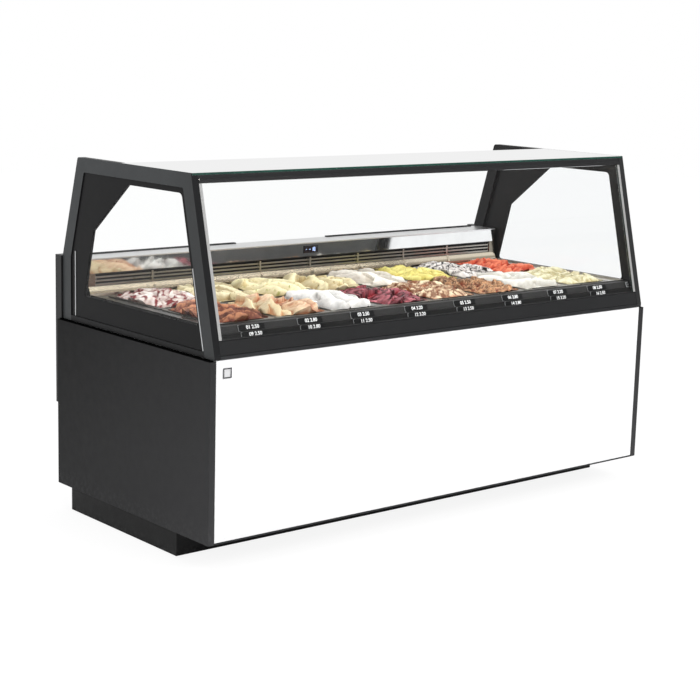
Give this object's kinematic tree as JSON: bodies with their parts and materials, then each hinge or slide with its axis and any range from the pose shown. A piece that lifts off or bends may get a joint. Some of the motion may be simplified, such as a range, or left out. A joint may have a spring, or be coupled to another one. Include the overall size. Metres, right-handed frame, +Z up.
{
  "type": "ice cream dipping cabinet",
  "caption": "Glazed ice cream dipping cabinet with two rows of lift-out steel pans, leaning front glass, glass top shelf, open server side and built-in refrigeration on a recessed plinth.",
  "frame": {"origin": "on the floor, under the middle of the overall box", "axes": "+X to the customer's right, +Y from the customer to the server, +Z up"},
  "size_m": [2.24, 1.045, 1.375],
  "materials": {
    "plinth_black": "satin black powder coat",
    "side_laminate": "dark grey laminate on board, satin",
    "white_panel": "white gloss lacquer on board",
    "trim_grey": "satin grey anodised profile",
    "badge_chrome": "bright, blank",
    "frame_anthracite": "satin anthracite powder coat",
    "black_plastic": "satin black",
    "insulation_shell": "foamed shell",
    "stainless": "brushed",
    "polished_stainless": "polished steel strip",
    "switch_black": "gloss",
    "grille_black": "satin black powder coat",
    "edge_rubber": "black edging",
    "compressor_black": "gloss black enamel",
    "coil_aluminium": "finned coil",
    "fan_black": "moulded",
    "galvanised_steel": "galvanised sheet",
    "cable_rubber": "flexible sheath",
    "led_diffuser": "opal",
    "pan_steel": "bright annealed",
    "foot_steel": "zinc plated",
    "bright_aluminium": "satin anodised",
    "clear_glass": "clear tempered, green at its edges"
  },
  "bodies": {
    "cabinet": {"plinth_skirt": "plinth_black", "base_tray": "plinth_black", "side_panel_left": "side_laminate", "side_panel_right": "side_laminate", "front_panel": "white_panel", "front_trim_rail": "trim_grey", "badge_plate": "badge_chrome", "front_sill": "frame_anthracite", "label_rail": "black_plastic", "insulated_tub": "insulation_shell", "tub_liner": "stainless", "pan_support_frame": "stainless", "worktop": "stainless", "mirror_strip": "polished_stainless", "temperature_display": "black_plastic", "air_outlet_grille": "stainless", "outlet_surround": "stainless", "rear_back_panel": "frame_anthracite", "control_plate": "black_plastic", "rear_service_grille": "grille_black", "rear_edge_strip_left": "edge_rubber", "rear_edge_strip_right": "edge_rubber", "compressor": "compressor_black", "condenser_coil": "coil_aluminium", "condenser_fan_shroud": "galvanised_steel", "evaporator_coil": "coil_aluminium", "power_cable": "cable_rubber", "end_frame_left": "frame_anthracite", "end_frame_right": "frame_anthracite", "side_glass_left": "clear_glass", "side_glass_right": "clear_glass", "shelf_glass": "clear_glass", "shelf_rail": "frame_anthracite", "led_light_bar": "led_diffuser"},
    "front_glass_unit": {"front_glass": "clear_glass", "front_glass_frame": "bright_aluminium"},
    "condenser_fan": {"condenser_fan": "fan_black"},
    "evaporator_fan": {"evaporator_fan": "fan_black"},
    "light_switch": {"light_switch": "switch_black"},
    "power_switch": {"power_switch": "switch_black"},
    "pan_back_1": {"pan_back_1": "pan_steel"},
    "pan_back_2": {"pan_back_2": "pan_steel"},
    "pan_back_3": {"pan_back_3": "pan_steel"},
    "pan_back_4": {"pan_back_4": "pan_steel"},
    "pan_back_5": {"pan_back_5": "pan_steel"},
    "pan_back_6": {"pan_back_6": "pan_steel"},
    "pan_back_7": {"pan_back_7": "pan_steel"},
    "pan_back_8": {"pan_back_8": "pan_steel"},
    "pan_front_1": {"pan_front_1": "pan_steel"},
    "pan_front_2": {"pan_front_2": "pan_steel"},
    "pan_front_3": {"pan_front_3": "pan_steel"},
    "pan_front_4": {"pan_front_4": "pan_steel"},
    "pan_front_5": {"pan_front_5": "pan_steel"},
    "pan_front_6": {"pan_front_6": "pan_steel"},
    "pan_front_7": {"pan_front_7": "pan_steel"},
    "pan_front_8": {"pan_front_8": "pan_steel"},
    "levelling_foot_front_left": {"levelling_foot_front_left": "foot_steel"},
    "levelling_foot_front_right": {"levelling_foot_front_right": "foot_steel"},
    "levelling_foot_rear_left": {"levelling_foot_rear_left": "foot_steel"},
    "levelling_foot_rear_right": {"levelling_foot_rear_right": "foot_steel"}
  },
  "joints": [
    {"name": "front_glass_hinge", "type": "hinge", "parent": "cabinet", "child": "front_glass_unit", "pos_m": [0, -0.37897, 1.3525], "axis": [-1, 0, 0], "range_deg": [0, 70]},
    {"name": "condenser_fan_spin", "type": "hinge", "parent": "cabinet", "child": "condenser_fan", "pos_m": [-0.23, 0.3155, 0.2545], "axis": [0, 1, 0], "continuous": true},
    {"name": "evaporator_fan_spin", "type": "hinge", "parent": "cabinet", "child": "evaporator_fan", "pos_m": [0, 0.2075, 0.672], "axis": [0, 1, 0], "continuous": true},
    {"name": "light_switch_rock", "type": "hinge", "parent": "cabinet", "child": "light_switch", "pos_m": [0.58, 0.5177, 0.825], "axis": [1, 0, 0], "range_deg": [0, 14]},
    {"name": "power_switch_rock", "type": "hinge", "parent": "cabinet", "child": "power_switch", "pos_m": [0.63, 0.5177, 0.825], "axis": [1, 0, 0], "range_deg": [0, 14]},
    {"name": "pan_back_1_lift", "type": "slide", "parent": "cabinet", "child": "pan_back_1", "axis": [0, 0, 1], "range_m": [0, 0.25]},
    {"name": "pan_back_2_lift", "type": "slide", "parent": "cabinet", "child": "pan_back_2", "axis": [0, 0, 1], "range_m": [0, 0.25]},
    {"name": "pan_back_3_lift", "type": "slide", "parent": "cabinet", "child": "pan_back_3", "axis": [0, 0, 1], "range_m": [0, 0.25]},
    {"name": "pan_back_4_lift", "type": "slide", "parent": "cabinet", "child": "pan_back_4", "axis": [0, 0, 1], "range_m": [0, 0.25]},
    {"name": "pan_back_5_lift", "type": "slide", "parent": "cabinet", "child": "pan_back_5", "axis": [0, 0, 1], "range_m": [0, 0.25]},
    {"name": "pan_back_6_lift", "type": "slide", "parent": "cabinet", "child": "pan_back_6", "axis": [0, 0, 1], "range_m": [0, 0.25]},
    {"name": "pan_back_7_lift", "type": "slide", "parent": "cabinet", "child": "pan_back_7", "axis": [0, 0, 1], "range_m": [0, 0.25]},
    {"name": "pan_back_8_lift", "type": "slide", "parent": "cabinet", "child": "pan_back_8", "axis": [0, 0, 1], "range_m": [0, 0.25]},
    {"name": "pan_front_1_lift", "type": "slide", "parent": "cabinet", "child": "pan_front_1", "axis": [0, 0, 1], "range_m": [0, 0.25]},
    {"name": "pan_front_2_lift", "type": "slide", "parent": "cabinet", "child": "pan_front_2", "axis": [0, 0, 1], "range_m": [0, 0.25]},
    {"name": "pan_front_3_lift", "type": "slide", "parent": "cabinet", "child": "pan_front_3", "axis": [0, 0, 1], "range_m": [0, 0.25]},
    {"name": "pan_front_4_lift", "type": "slide", "parent": "cabinet", "child": "pan_front_4", "axis": [0, 0, 1], "range_m": [0, 0.25]},
    {"name": "pan_front_5_lift", "type": "slide", "parent": "cabinet", "child": "pan_front_5", "axis": [0, 0, 1], "range_m": [0, 0.25]},
    {"name": "pan_front_6_lift", "type": "slide", "parent": "cabinet", "child": "pan_front_6", "axis": [0, 0, 1], "range_m": [0, 0.25]},
    {"name": "pan_front_7_lift", "type": "slide", "parent": "cabinet", "child": "pan_front_7", "axis": [0, 0, 1], "range_m": [0, 0.25]},
    {"name": "pan_front_8_lift", "type": "slide", "parent": "cabinet", "child": "pan_front_8", "axis": [0, 0, 1], "range_m": [0, 0.25]},
    {"name": "levelling_foot_front_left_screw", "type": "slide", "parent": "cabinet", "child": "levelling_foot_front_left", "axis": [0, 0, -1], "range_m": [0, 0.02]},
    {"name": "levelling_foot_front_right_screw", "type": "slide", "parent": "cabinet", "child": "levelling_foot_front_right", "axis": [0, 0, -1], "range_m": [0, 0.02]},
    {"name": "levelling_foot_rear_left_screw", "type": "slide", "parent": "cabinet", "child": "levelling_foot_rear_left", "axis": [0, 0, -1], "range_m": [0, 0.02]},
    {"name": "levelling_foot_rear_right_screw", "type": "slide", "parent": "cabinet", "child": "levelling_foot_rear_right", "axis": [0, 0, -1], "range_m": [0, 0.02]}
  ]
}
